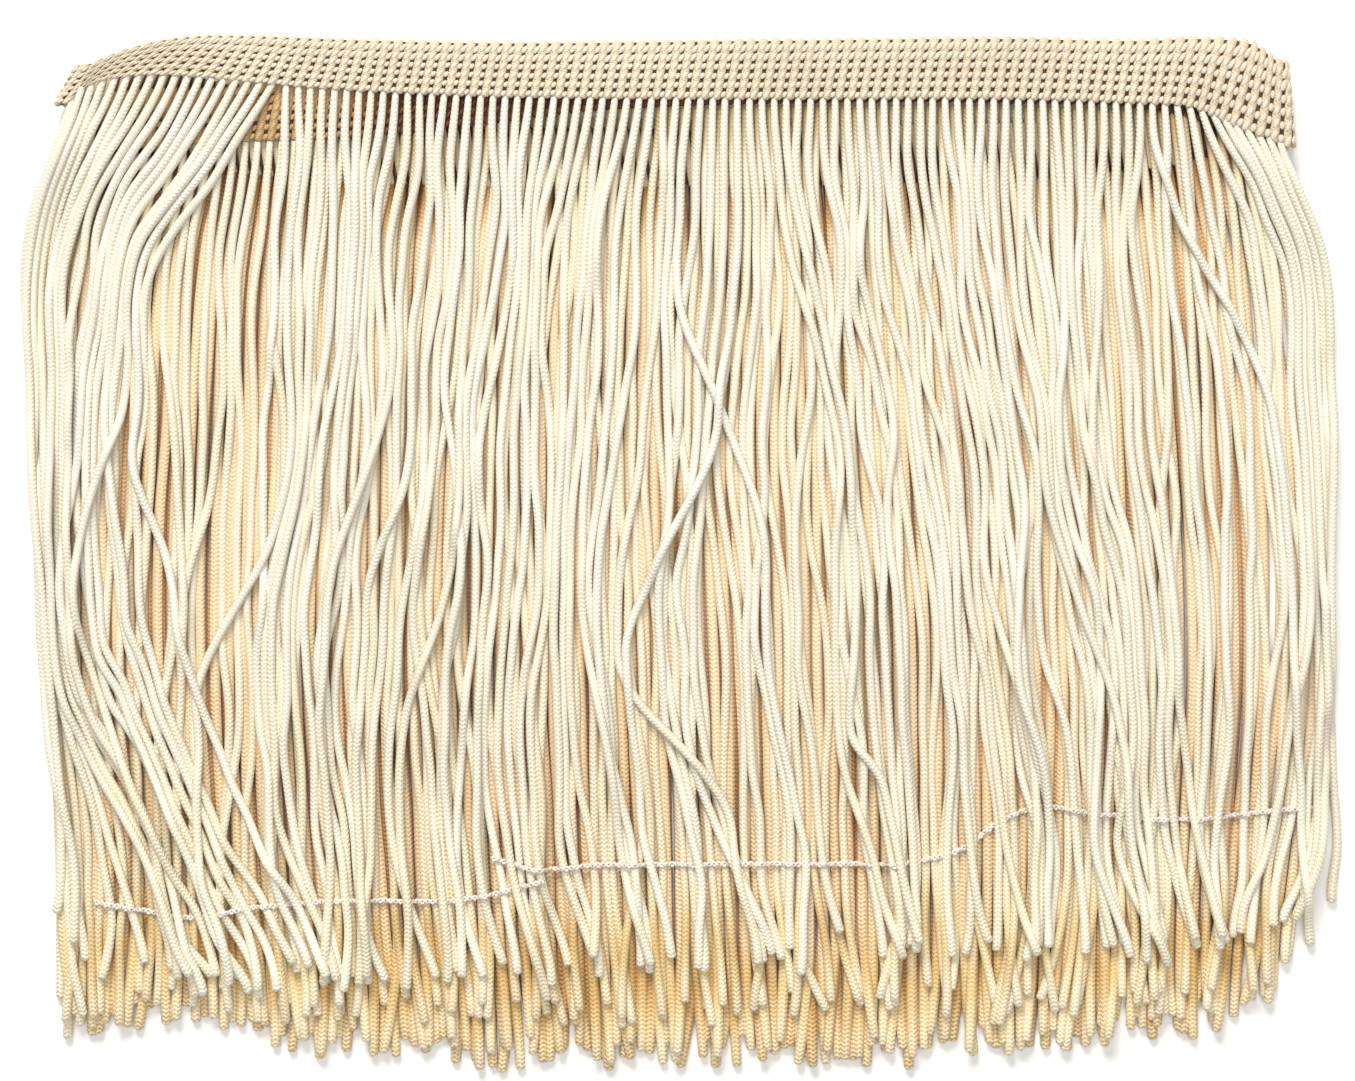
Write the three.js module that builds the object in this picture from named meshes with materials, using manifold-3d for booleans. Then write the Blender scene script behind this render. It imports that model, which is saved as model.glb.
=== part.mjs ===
// Chainette fringe trim: about a metre of fringe, 200 mm deep, wound flat in four runs.
// Millimetres, +Z up. It lies face up, with its heading towards +Y and its cords towards -Y.
// The origin is under the middle of the whole winding, on the surface that it lies on.

import * as THREE from 'three';
import Module from 'manifold-3d';

const wasm = await Module();
wasm.setup();

// Driving dimensions
const TAPE_THICKNESS = 1.6;
const RUN_GAP = 0.5;
const RUN_RISE = TAPE_THICKNESS + RUN_GAP;
const EDGE_GAP = 0.3;
const STRIP_DEPTH = 1.6;
const STRIP_INSET = 1;
const CORD_HEIGHT = 1.5;
const WAVE_HEIGHT = 1.1;
const WAVE_LENGTH = 74;
const WAVE_PHASE_SWING = 2.2;
const WAVE_PHASE_WIDTH = 31;
const WAVE_DRIFT_WIDTH = 47;
const TIP_UNEVENNESS = 2.4;

// How finely the curves are stepped
const TURN_STEPS = 8;
const STEPS_BETWEEN_TAPE_ROWS = 2;
const ROOT_SAMPLES = 200;

// The heights at which a flow table gives a cord's sideways place
const FLOW_HEIGHTS = { x65: 65, x33: 32.5, x0: 0, xMinus33: -32.5, xMinus65: -65 };

const headingYarn = new THREE.MeshStandardMaterial({ color: 0xeedfbd, roughness: 0.75, metalness: 0 });
const cordYarn = new THREE.MeshStandardMaterial({ color: 0xfbf0d6, roughness: 0.55, metalness: 0 });

// Gives each number in a row the name of its column.
function table(columns, rows) {
  const names = columns.split(' ');
  return rows.map((row) => Object.fromEntries(names.map((name, place) => [name, row[place]])));
}

// One row for each change of the tape's course, from left to right: the place of its lower
// edge, where the cords leave it, and the place of its upper edge on the same crossing line.
const TAPE_COLUMNS = 'lowX lowY highX highY';

const frontTape = table(TAPE_COLUMNS, [
  [-133.5, 97, -129, 105.3],
  [-128.5, 101, -122, 108.2],
  [-121, 102.7, -113, 110.5],
  [-111, 103, -104, 111.5],
  [-98.5, 102, -94.5, 111.5],
  [-83, 100.5, -81, 111],
  [-67, 99.5, -66.5, 110.5],
  [-40, 98.5, -40, 110],
  [14, 98, 14, 110.5],
  [68, 98, 68, 111],
  [98.5, 97, 98.5, 110.5],
  [110, 96, 111.5, 111],
  [119.5, 92, 122.5, 110],
  [130, 88, 128.5, 106],
]);

const innerFrontTape = table(TAPE_COLUMNS, [
  [-128.5, 86.5, -127.5, 99],
  [-112, 88, -111.5, 100.5],
  [-96.5, 89, -96.5, 101.5],
  [-70.5, 90, -70.5, 102.5],
  [-47.5, 92.5, -47.5, 105],
  [-18.5, 96, -18.5, 108.5],
  [25, 97.5, 25, 109.5],
  [68, 97.5, 68, 109.5],
  [100.5, 96, 100.5, 108.5],
  [125, 89.5, 125, 102],
]);

const innerBackTape = table(TAPE_COLUMNS, [
  [-128.5, 86.5, -127.5, 99],
  [-113.5, 84.5, -113, 97],
  [-92, 82, -92, 94.5],
  [-61.5, 80, -61.5, 93],
  [-7.5, 79.5, -7.5, 92],
  [46.5, 80, 46.5, 92.5],
  [85.5, 81.5, 85.5, 94],
  [111.5, 85, 111.5, 99.5],
  [130, 88, 128.5, 106],
]);

const backTape = table(TAPE_COLUMNS, [
  [-133.5, 97, -129, 105.3],
  [-125, 94, -118.5, 104.5],
  [-111.5, 91.5, -106, 103.5],
  [-92, 87.5, -90, 99.5],
  [-61.5, 83.5, -61.5, 96],
  [-7.5, 81.5, -7.5, 94],
  [46.5, 81, 46.5, 93.5],
  [85.5, 82, 85.5, 94.5],
  [109.5, 84.5, 109.5, 97],
]);

// One row for each guide cord, from left to right: its root on the tape's lower edge, its
// sideways place at each flow height, and where it ends. Other cords run between two guides.
const FLOW_COLUMNS = 'root x65 x33 x0 xMinus33 xMinus65 tipX tipY';

const frontFlow = table(FLOW_COLUMNS, [
  [-132.5, -143, -142, -142, -141, -140, -139, -74],
  [-129, -140.5, -140.3, -140.3, -139, -135.5, -131, -89.5],
  [-122.5, -137.5, -138.3, -138.3, -135.5, -125, -116, -94],
  [-117, -134, -136.3, -136, -132, -117.5, -105.5, -94],
  [-110, -127.5, -132.5, -132.5, -128, -110.5, -98, -95],
  [-103, -121.5, -128, -128.5, -123.5, -105, -93.5, -95],
  [-96, -117, -123.5, -124.5, -119.5, -101, -90, -93],
  [-88.8, -112.5, -118.5, -120, -115.5, -98, -87.5, -92],
  [-86.2, -88.5, -91, -93.5, -95.5, -91, -84.5, -92],
  [-77, -79.5, -82, -84.5, -86.5, -83.5, -77.5, -93],
  [-61.5, -64.5, -67, -69, -70.5, -69.5, -65.5, -95],
  [-40, -43.5, -46.5, -47, -49.5, -50.5, -48.5, -93],
  [-18.5, -22.5, -24.5, -26, -27, -24, -19, -91],
  [3, 0.5, -3, -4.5, -3, 2, 6, -89.5],
  [12, 9.5, 9.5, 9.5, 11, 15.5, 19.5, -88.5],
  [20.5, 21, 25, 26.5, 27.5, 30.5, 33.5, -87.5],
  [38, 39.5, 45.5, 50.5, 53.5, 56, 58.5, -87.5],
  [57.5, 58, 64, 70, 74, 76.5, 78.5, -87.5],
  [79, 80, 83.5, 88, 92.5, 96, 98.5, -86.5],
  [92, 94, 96, 99.5, 102.5, 105, 106.5, -86],
  [100.5, 100.5, 102, 105.5, 108.5, 110.5, 112, -85.5],
  [105, 108, 111.5, 114, 115.5, 116, 116, -85],
  [109.5, 119, 124.5, 126, 125.5, 123.5, 120.5, -84.5],
  [114, 130, 133.5, 134.5, 134, 130.5, 125.5, -83],
  [118, 132, 136, 137, 137.5, 134.5, 129.5, -82],
  [123, 134.7, 138.7, 139.7, 140.5, 139, 134.5, -79],
  [128.5, 137.5, 141, 142.3, 143.5, 143.5, 140, -74.5],
]);

const innerFrontFlow = table(FLOW_COLUMNS, [
  [-126.5, -134, -138, -139, -138, -135.5, -134, -99.5],
  [-120, -127, -131.5, -133, -132, -129, -126.5, -100.5],
  [-111.5, -118, -122.5, -124, -123, -121, -119.5, -97.5],
  [-96.5, -102.5, -108, -111, -110.5, -107, -104, -99.5],
  [-88, -91.5, -95, -98, -98.5, -95.5, -93, -100.5],
  [-75, -77.5, -80.5, -83, -83.5, -81, -78.5, -100.5],
  [-61.5, -63.5, -65, -66.5, -66.5, -64.5, -62.5, -100.5],
  [-27, -29, -31.5, -31.5, -31, -29.5, -28, -101],
  [7.5, 6.5, 5.5, 6.5, 8, 9.5, 10.5, -100],
  [42, 43, 46, 49, 51.5, 52, 52.5, -99],
  [77, 79.5, 83.5, 87, 88, 88.5, 88, -98],
  [109.5, 112.5, 115.5, 118, 119, 117.5, 116, -98.5],
  [122.5, 126, 130.5, 133, 134, 131, 127.5, -97.5],
]);

const innerBackFlow = table(FLOW_COLUMNS, [
  [-126.5, -137, -140.5, -141, -139.5, -137, -136, -101.5],
  [-120, -128.5, -132, -133, -132, -129.5, -128.5, -104],
  [-111.5, -116.5, -119.5, -121, -120.5, -119.5, -119.5, -102],
  [-83.5, -85.5, -87, -88.5, -88.5, -86.5, -84, -107.5],
  [-40, -41.5, -42.5, -43, -42.5, -41, -39.5, -110.5],
  [3, 3, 3, 3.5, 4.5, 5.5, 6, -110.5],
  [46.5, 48, 49.5, 51, 51.5, 51.5, 51.5, -108],
  [90, 92.5, 94.5, 96, 96.5, 95.5, 94, -106],
  [107, 110.5, 113, 115, 115, 113, 111.5, -103.5],
  [120, 126, 130, 132.5, 132, 128, 124.5, -99],
  [128, 136, 140, 142, 142, 136.5, 131, -88.5],
]);

const backFlow = table(FLOW_COLUMNS, [
  [-131, -141, -142.5, -143, -142, -140.5, -140, -97.5],
  [-124.5, -133, -135, -135.5, -134, -132.5, -131.5, -104],
  [-113.5, -118.5, -121, -122.5, -122, -120, -119, -99.5],
  [-79, -81, -83, -84, -83.5, -81, -79, -108],
  [-31.5, -32.5, -33, -33.5, -33, -32, -30.5, -111],
  [20.5, 21.5, 22.5, 23.5, 24.5, 24.5, 24, -110.5],
  [72.5, 75, 77.5, 79, 80, 79, 77.5, -107],
  [94, 97.5, 100.5, 103, 103.5, 102, 100, -104.5],
  [108.5, 113.5, 118, 120.5, 120.5, 118, 116, -101.5],
]);

// The four runs, from the surface up. Cords in the hidden runs are a little wider and fewer.
const backRun = {
  name: 'fringe_back', level: 0, tape: backTape, flow: backFlow,
  cordPitch: 4, cordWidth: 2.6, cordSteps: 4, seed: 11,
};
const innerBackRun = {
  name: 'fringe_inner_back', level: 1, tape: innerBackTape, flow: innerBackFlow,
  cordPitch: 4, cordWidth: 2.6, cordSteps: 4, seed: 23,
};
const innerFrontRun = {
  name: 'fringe_inner_front', level: 2, tape: innerFrontTape, flow: innerFrontFlow,
  cordPitch: 3.3, cordWidth: 2.2, cordSteps: 4, seed: 37,
};
const frontRun = {
  name: 'fringe_front', level: 3, tape: frontTape, flow: frontFlow,
  cordPitch: 2.3, cordWidth: 1.7, cordSteps: 7, seed: 53,
};

// A repeatable run of numbers from 0 to 1.
function seededNumbers(seed) {
  let state = seed;
  return () => {
    state = (state + 0x6d2b79f5) | 0;
    let mixed = Math.imul(state ^ (state >>> 15), 1 | state);
    mixed = (mixed + Math.imul(mixed ^ (mixed >>> 7), 61 | mixed)) ^ mixed;
    return ((mixed ^ (mixed >>> 14)) >>> 0) / 4294967296;
  };
}

// Six times the volume that the triangles enclose: below zero where they face inwards.
function signedVolume(vertices, triangles) {
  let total = 0;
  for (let i = 0; i < triangles.length; i += 3) {
    const [a, b, c] = [vertices[triangles[i]], vertices[triangles[i + 1]], vertices[triangles[i + 2]]];
    total += a.dot(b.clone().cross(c));
  }
  return total;
}

// Skins a row of equal rings and closes both ends.
function loft(rings) {
  const sides = rings[0].length;
  const vertices = rings.flat();
  const triangles = [];
  for (let ring = 0; ring < rings.length - 1; ring += 1) {
    for (let side = 0; side < sides; side += 1) {
      const a = ring * sides + side;
      const b = ring * sides + ((side + 1) % sides);
      triangles.push(a, b, b + sides, a, b + sides, a + sides);
    }
  }
  const last = (rings.length - 1) * sides;
  for (let side = 1; side < sides - 1; side += 1) {
    triangles.push(0, side + 1, side);
    triangles.push(last, last + side, last + side + 1);
  }
  if (signedVolume(vertices, triangles) < 0) {
    triangles.reverse();
  }
  const places = vertices.flatMap((vertex) => vertex.toArray());
  const geometry = new THREE.BufferGeometry();
  geometry.setAttribute('position', new THREE.Float32BufferAttribute(places, 3));
  geometry.setIndex(triangles);
  return geometry;
}

function toSolid(geometry) {
  return new wasm.Manifold(new wasm.Mesh({
    numProp: 3,
    vertProperties: new Float32Array(geometry.attributes.position.array),
    triVerts: new Uint32Array(geometry.index.array),
  }));
}

function toGeometry(solid) {
  const mesh = solid.getMesh();
  const geometry = new THREE.BufferGeometry();
  geometry.setAttribute('position', new THREE.BufferAttribute(mesh.vertProperties, 3));
  geometry.setIndex(new THREE.BufferAttribute(mesh.triVerts, 1));
  geometry.computeVertexNormals();
  return geometry;
}

// A smooth line through the rows' lower or upper edge points.
function edgeLine(tape, edge) {
  const points = tape.map((row) => new THREE.Vector3(row[`${edge}X`], row[`${edge}Y`], 0));
  return new THREE.CatmullRomCurve3(points, false, 'centripetal');
}

// The tape's crossing lines along one run, from left to right.
function runStations(run, facing) {
  const steps = (run.tape.length - 1) * STEPS_BETWEEN_TAPE_ROWS;
  const lowLine = edgeLine(run.tape, 'low');
  const highLine = edgeLine(run.tape, 'high');
  const height = run.level * RUN_RISE + TAPE_THICKNESS / 2;
  return Array.from({ length: steps + 1 }, (_, step) => ({
    low: lowLine.getPoint(step / steps).setZ(height),
    high: highLine.getPoint(step / steps).setZ(height),
    out: new THREE.Vector3(0, 0, facing),
  }));
}

// The half-round turn from one run to the next, over the crossing line that they share.
// Side is -1 at the winding's left end and 1 at its right end.
function turnStations(before, after, side) {
  const radius = (after.low.z - before.low.z) / 2;
  const outwards = new THREE.Vector3(side, 0, 0);
  const stations = [];
  for (let step = 1; step < TURN_STEPS; step += 1) {
    const angle = (Math.PI * step) / TURN_STEPS;
    const shift = outwards.clone().multiplyScalar(Math.abs(radius) * Math.sin(angle));
    shift.z = radius * (1 - Math.cos(angle));
    const out = outwards.clone().multiplyScalar(Math.sin(angle));
    out.z = -Math.sign(radius) * Math.cos(angle);
    stations.push({ low: before.low.clone().add(shift), high: before.high.clone().add(shift), out });
  }
  return stations;
}

// The heading: one flat-wound tape, from its free end inside the winding to its cut end below.
function headingGeometry() {
  const innerFront = runStations(innerFrontRun, 1).reverse();
  const innerBack = runStations(innerBackRun, -1);
  const front = runStations(frontRun, 1).reverse();
  const back = runStations(backRun, -1);
  const stations = [
    ...innerFront,
    ...turnStations(innerFront.at(-1), innerBack[0], -1),
    ...innerBack,
    ...turnStations(innerBack.at(-1), front[0], 1),
    ...front,
    ...turnStations(front.at(-1), back[0], -1),
    ...back,
  ];
  return loft(stations.map(({ low, high, out }) => {
    const half = out.clone().multiplyScalar(TAPE_THICKNESS / 2);
    return [low.clone().sub(half), high.clone().sub(half), high.clone().add(half), low.clone().add(half)];
  }));
}

// Points along a run's lower edge, each with the direction away from the tape. With a step
// for each of the tape's stations, the edge and what is offset from it stay parallel.
function edgeSamples(run, steps) {
  const line = edgeLine(run.tape, 'low');
  const samples = Array.from({ length: steps + 1 }, (_, step) => {
    const tangent = line.getTangent(step / steps);
    return { point: line.getPoint(step / steps), away: new THREE.Vector3(tangent.y, -tangent.x, 0) };
  });
  for (const [end, next] of [[samples[0], samples[1]], [samples.at(-1), samples.at(-2)]]) {
    end.point.lerp(next.point, Math.min(1, STRIP_INSET / end.point.distanceTo(next.point)));
  }
  return samples;
}

// The narrow strip under the tape's edge that holds the cords' roots.
function stripGeometry(run) {
  const base = run.level * RUN_RISE;
  const steps = (run.tape.length - 1) * STEPS_BETWEEN_TAPE_ROWS;
  return loft(edgeSamples(run, steps).map(({ point, away }) => {
    const near = point.clone().addScaledVector(away, EDGE_GAP);
    const far = point.clone().addScaledVector(away, EDGE_GAP + STRIP_DEPTH);
    const top = base + TAPE_THICKNESS;
    return [near.clone().setZ(base), far.clone().setZ(base), far.clone().setZ(top), near.clone().setZ(top)];
  }));
}

// Where a cord is rooted: the middle of the strip, below this place on the tape's edge.
function rootPoint(samples, x) {
  const miss = (sample) => Math.abs(sample.point.x - x);
  const nearest = samples.reduce((best, sample) => (miss(sample) < miss(best) ? sample : best));
  return nearest.point.clone().addScaledVector(nearest.away, EDGE_GAP + STRIP_DEPTH / 2);
}

// Spreads cords between the guides, so that they stay the pitch apart where the flow is narrowest.
function spreadCords(flow, pitch) {
  const columns = Object.keys(flow[0]).filter((name) => name !== 'tipY');
  const cords = [];
  let roomBefore = 0;
  for (let row = 0; row < flow.length - 1; row += 1) {
    const [left, right] = [flow[row], flow[row + 1]];
    const room = Math.min(...columns.map((name) => right[name] - left[name]));
    while (cords.length * pitch <= roomBefore + room) {
      const share = (cords.length * pitch - roomBefore) / room;
      const blend = (name) => THREE.MathUtils.lerp(left[name], right[name], share);
      cords.push(Object.fromEntries(Object.keys(left).map((name) => [name, blend(name)])));
    }
    roomBefore += room;
  }
  return cords;
}

// A slow sideways wave that neighbouring cords share, so that they stay side by side.
function waveAt(x, y, seed) {
  const phase = seed + WAVE_PHASE_SWING * Math.sin(x / WAVE_PHASE_WIDTH + seed) + x / WAVE_DRIFT_WIDTH;
  return WAVE_HEIGHT * Math.sin((2 * Math.PI * y) / WAVE_LENGTH + phase);
}

// One cord: a three-sided bar along its course, flat underneath and ridged on top.
function cordGeometry(run, cord, root, tipShift) {
  const base = run.level * RUN_RISE;
  const course = Object.entries(FLOW_HEIGHTS).map(([name, y]) => (
    new THREE.Vector3(cord[name] + waveAt(cord.root, y, run.seed), y, base)
  ));
  const tipY = cord.tipY + tipShift;
  const tip = new THREE.Vector3(cord.tipX + waveAt(cord.root, tipY, run.seed), tipY, base);
  const line = new THREE.CatmullRomCurve3([root.clone().setZ(base), ...course, tip], false, 'centripetal');
  const rings = Array.from({ length: run.cordSteps + 1 }, (_, step) => {
    const point = line.getPointAt(step / run.cordSteps);
    const tangent = line.getTangentAt(step / run.cordSteps);
    const sideways = new THREE.Vector3(-tangent.y, tangent.x, 0).multiplyScalar(run.cordWidth / 2);
    return [
      point.clone().sub(sideways),
      point.clone().add(sideways),
      point.clone().setZ(base + CORD_HEIGHT),
    ];
  });
  return loft(rings);
}

// One run's fringe: its strip with every cord joined to it by the root.
function fringeGeometry(run) {
  const random = seededNumbers(run.seed);
  const samples = edgeSamples(run, ROOT_SAMPLES);
  let fringe = toSolid(stripGeometry(run));
  for (const cord of spreadCords(run.flow, run.cordPitch)) {
    const tipShift = (2 * random() - 1) * TIP_UNEVENNESS;
    fringe = fringe.add(toSolid(cordGeometry(run, cord, rootPoint(samples, cord.root), tipShift)));
  }
  return toGeometry(fringe);
}

function piece(name, geometry, material) {
  const mesh = new THREE.Mesh(geometry, material);
  mesh.name = name;
  return mesh;
}

const trim = new THREE.Group();
trim.name = 'chainette_fringe_trim';
trim.add(piece('heading_tape', headingGeometry(), headingYarn));
for (const run of [backRun, innerBackRun, innerFrontRun, frontRun]) {
  trim.add(piece(run.name, fringeGeometry(run), cordYarn));
}

export default trim;
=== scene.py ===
import math

import bpy
import numpy as np
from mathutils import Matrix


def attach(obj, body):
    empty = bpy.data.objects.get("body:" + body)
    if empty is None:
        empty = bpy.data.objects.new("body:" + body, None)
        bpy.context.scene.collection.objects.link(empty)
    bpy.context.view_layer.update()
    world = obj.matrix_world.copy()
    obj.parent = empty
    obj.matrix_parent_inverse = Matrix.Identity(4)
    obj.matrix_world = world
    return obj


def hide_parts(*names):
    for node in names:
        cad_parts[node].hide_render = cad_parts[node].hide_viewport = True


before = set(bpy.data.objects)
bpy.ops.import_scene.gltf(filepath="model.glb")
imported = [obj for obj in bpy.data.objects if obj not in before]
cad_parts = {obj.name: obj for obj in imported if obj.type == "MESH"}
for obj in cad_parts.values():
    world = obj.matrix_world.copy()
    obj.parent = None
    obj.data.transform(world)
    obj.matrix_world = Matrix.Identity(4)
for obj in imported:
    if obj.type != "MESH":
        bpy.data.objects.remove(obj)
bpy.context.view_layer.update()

for cad_node in bpy.context.selected_objects:
    cad_node.select_set(False)

# The camera
# It looks straight down on the trim, which lies face up with its heading at the top of the view.
# The lens is a short telephoto, so the layers hardly lean outwards.
VIEW_CENTRE = (-1.62, 2.17)
VIEW_WIDTH = 293.4
VIEW_LEVEL = 7.0
LENS = 85.0
SENSOR = 36.0
NEAREST_SHOWN = 0.01
MM = 0.001

camera_data = bpy.data.cameras.new("camera")
camera_data.lens = LENS
camera_data.sensor_width = SENSOR
camera_data.clip_start = NEAREST_SHOWN
camera = bpy.data.objects.new("camera", camera_data)
camera_height = VIEW_LEVEL + VIEW_WIDTH * LENS / SENSOR
camera.location = (VIEW_CENTRE[0] * MM, VIEW_CENTRE[1] * MM, camera_height * MM)
bpy.context.collection.objects.link(camera)
bpy.context.scene.camera = camera

# The heading's ground
# A crochet-knitted band about 12.5 mm deep and 1.04 m long, of silky polyester yarn, wound flat
# in four runs with its outer face always outwards. Its ground threads lie in the middle of its
# thickness, in the shade of the stitches, so that they show only as the bottom of the holes.
TAPE_DEPTH = 12.5
TAPE_THICKNESS = 1.6
RUN_RISE = 2.1
TURN_STEPS = 16
STATIONS_A_RUN = 240
GROUND_THICKNESS = 0.4
GROUND_STEP = 1.4
GROUND_COLUMNS = 5
GROUND_INSET = 0.02
CM = 10.0

# From left to right: the lower edge's x and y, and the upper edge's x and y.
FRONT_TAPE = np.array([
    (-133.5, 97, -129, 105.3),
    (-128.5, 101, -122, 108.2),
    (-121, 102.7, -113, 110.5),
    (-111, 103, -104, 111.5),
    (-98.5, 102, -94.5, 111.5),
    (-83, 100.5, -81, 111),
    (-67, 99.5, -66.5, 110.5),
    (-40, 98.5, -40, 110),
    (14, 98, 14, 110.5),
    (68, 98, 68, 111),
    (98.5, 97, 98.5, 110.5),
    (110, 96, 111.5, 111),
    (119.5, 92, 122.5, 110),
    (130, 88, 128.5, 106),
])
INNER_FRONT_TAPE = np.array([
    (-128.5, 86.5, -127.5, 99),
    (-112, 88, -111.5, 100.5),
    (-96.5, 89, -96.5, 101.5),
    (-70.5, 90, -70.5, 102.5),
    (-47.5, 92.5, -47.5, 105),
    (-18.5, 96, -18.5, 108.5),
    (25, 97.5, 25, 109.5),
    (68, 97.5, 68, 109.5),
    (100.5, 96, 100.5, 108.5),
    (125, 89.5, 125, 102),
])
INNER_BACK_TAPE = np.array([
    (-128.5, 86.5, -127.5, 99),
    (-113.5, 84.5, -113, 97),
    (-92, 82, -92, 94.5),
    (-61.5, 80, -61.5, 93),
    (-7.5, 79.5, -7.5, 92),
    (46.5, 80, 46.5, 92.5),
    (85.5, 81.5, 85.5, 94),
    (111.5, 85, 111.5, 99.5),
    (130, 88, 128.5, 106),
])
BACK_TAPE = np.array([
    (-133.5, 97, -129, 105.3),
    (-125, 94, -118.5, 104.5),
    (-111.5, 91.5, -106, 103.5),
    (-92, 87.5, -90, 99.5),
    (-61.5, 83.5, -61.5, 96),
    (-7.5, 81.5, -7.5, 94),
    (46.5, 81, 46.5, 93.5),
    (85.5, 82, 85.5, 94.5),
    (109.5, 84.5, 109.5, 97),
])


def line_through(points, samples):
    """Samples of a smooth line through the points, from the first point to the last."""
    points = np.vstack([2 * points[0] - points[1], points, 2 * points[-1] - points[-2]])
    spans = len(points) - 3
    place = np.linspace(0, 1, samples) * spans
    span = np.minimum(place.astype(int), spans - 1)
    part = (place - span)[:, None]
    before, start, end, after = (points[span + k] for k in range(4))
    gap_before, gap, gap_after = (
        np.sqrt(np.maximum(np.linalg.norm(b - a, axis=1), 1e-6))[:, None]
        for a, b in ((before, start), (start, end), (end, after))
    )
    out = ((start - before) / gap_before - (end - before) / (gap_before + gap)) * gap + end - start
    into = ((after - end) / gap_after - (after - start) / (gap_after + gap)) * gap + end - start
    square = 3 * (end - start) - 2 * out - into
    cube = 2 * (start - end) + out + into
    return start + part * (out + part * (square + part * cube))


def unit(vectors):
    """These vectors at length one."""
    return vectors / np.linalg.norm(vectors, axis=-1, keepdims=True)


def distances_along(points):
    """The distance along a line of points to each of them."""
    return np.concatenate([[0], np.cumsum(np.linalg.norm(np.diff(points, axis=0), axis=1))])


def run_stations(tape, level, facing):
    """The tape's crossing lines on one run, from left to right: lower end, upper end and outwards."""
    low = line_through(tape[:, 0:2], STATIONS_A_RUN)
    high = line_through(tape[:, 2:4], STATIONS_A_RUN)
    height = np.full((STATIONS_A_RUN, 1), level * RUN_RISE + TAPE_THICKNESS / 2)
    outwards = np.tile((0.0, 0.0, facing), (STATIONS_A_RUN, 1))
    return np.hstack([low, height, high, height, outwards])


def turn_stations(before, after, side):
    """The half-round turn between two runs, at the left end where side is -1."""
    radius = (after[2] - before[2]) / 2
    angles = np.pi * np.arange(1, TURN_STEPS) / TURN_STEPS
    stations = np.tile(before, (len(angles), 1))
    for column in (0, 3):
        stations[:, column] += side * abs(radius) * np.sin(angles)
        stations[:, column + 2] += radius * (1 - np.cos(angles))
    stations[:, 6] = side * np.sin(angles)
    stations[:, 8] = -np.sign(radius) * np.cos(angles)
    return stations


inner_front_stations = run_stations(INNER_FRONT_TAPE, 2, 1.0)[::-1]
inner_back_stations = run_stations(INNER_BACK_TAPE, 1, -1.0)
front_stations = run_stations(FRONT_TAPE, 3, 1.0)[::-1]
back_stations = run_stations(BACK_TAPE, 0, -1.0)
tape_stations = np.vstack([
    inner_front_stations,
    turn_stations(inner_front_stations[-1], inner_back_stations[0], -1),
    inner_back_stations,
    turn_stations(inner_back_stations[-1], front_stations[0], 1),
    front_stations,
    turn_stations(front_stations[-1], back_stations[0], -1),
    back_stations,
])
tape_middles = (tape_stations[:, 0:3] + tape_stations[:, 3:6]) / 2
tape_along = distances_along(tape_middles)
TAPE_LENGTH = tape_along[-1]


def tape_point(along, across, out):
    """Points on the tape, from millimetres along it, shares of its depth and millimetres outwards."""
    along, across, out = np.broadcast_arrays(along, across, out)
    columns = [np.interp(along, tape_along, tape_stations[:, k]) for k in range(9)]
    low, high, outwards = (np.stack(columns[k:k + 3], axis=-1) for k in (0, 3, 6))
    return low + (high - low) * across[..., None] + unit(outwards) * out[..., None]


def angles_round(sides):
    """The angles of a ring's corners."""
    return 2 * np.pi * np.arange(sides) / sides


def mesh_of_rings(name, rings, along, shade=None, tone=None):
    """One mesh of many closed tubes with their faces outwards, from an array of rings: tube, ring,
    side and place in mm. Its UV map holds the share round the tube and the centimetres along it.
    Shade says how deep each ring lies under other yarn, and tone tells the tubes apart."""
    tubes, steps, sides = rings.shape[:3]
    tube, step, side = np.meshgrid(
        np.arange(tubes), np.arange(steps - 1), np.arange(sides), indexing="ij"
    )
    here = (tube * steps + step) * sides
    turn = (side + 1) % sides
    walls = np.stack([here + side, here + turn, here + sides + turn, here + sides + side], axis=-1)
    first = np.arange(tubes)[:, None] * steps * sides + np.arange(sides)[None, :]
    last = first + (steps - 1) * sides
    faces = walls.reshape(-1, 4).tolist() + first[:, ::-1].tolist() + last.tolist()
    mesh = bpy.data.meshes.new(name)
    mesh.from_pydata((rings.reshape(-1, 3) * MM).tolist(), [], faces)
    round_share = np.stack([side, side + 1, side + 1, side], axis=-1) / sides
    along_low, along_high = along[tube, step] / CM, along[tube, step + 1] / CM
    along_cm = np.stack([along_low, along_low, along_high, along_high], axis=-1)
    wall_uv = np.stack([round_share, along_cm], axis=-1).reshape(-1, 2)
    end_round = np.tile(np.arange(sides) / sides, tubes)
    end_uvs = [
        np.stack([end_round, np.repeat(along[:, end] / CM, sides)], axis=-1) for end in (0, -1)
    ]
    uv = mesh.uv_layers.new(name="along_yarn")
    uv.data.foreach_set("uv", np.vstack([wall_uv, *end_uvs]).astype(np.float32).ravel())
    for label, values in (("shade", shade), ("tone", tone)):
        if values is not None:
            attribute = mesh.attributes.new(label, "FLOAT", "POINT")
            on_rings = np.broadcast_to(values, (tubes, steps))
            attribute.data.foreach_set("value", np.repeat(on_rings, sides).astype(np.float32))
    mesh.polygons.foreach_set("use_smooth", np.ones(len(mesh.polygons), bool))
    mesh.update()
    piece = bpy.data.objects.new(name, mesh)
    bpy.context.collection.objects.link(piece)
    bpy.context.view_layer.objects.active = piece
    piece.select_set(True)
    bpy.ops.object.mode_set(mode="EDIT")
    bpy.ops.mesh.select_all(action="SELECT")
    bpy.ops.mesh.normals_make_consistent(inside=False)
    bpy.ops.object.mode_set(mode="OBJECT")
    piece.select_set(False)
    return piece


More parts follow.
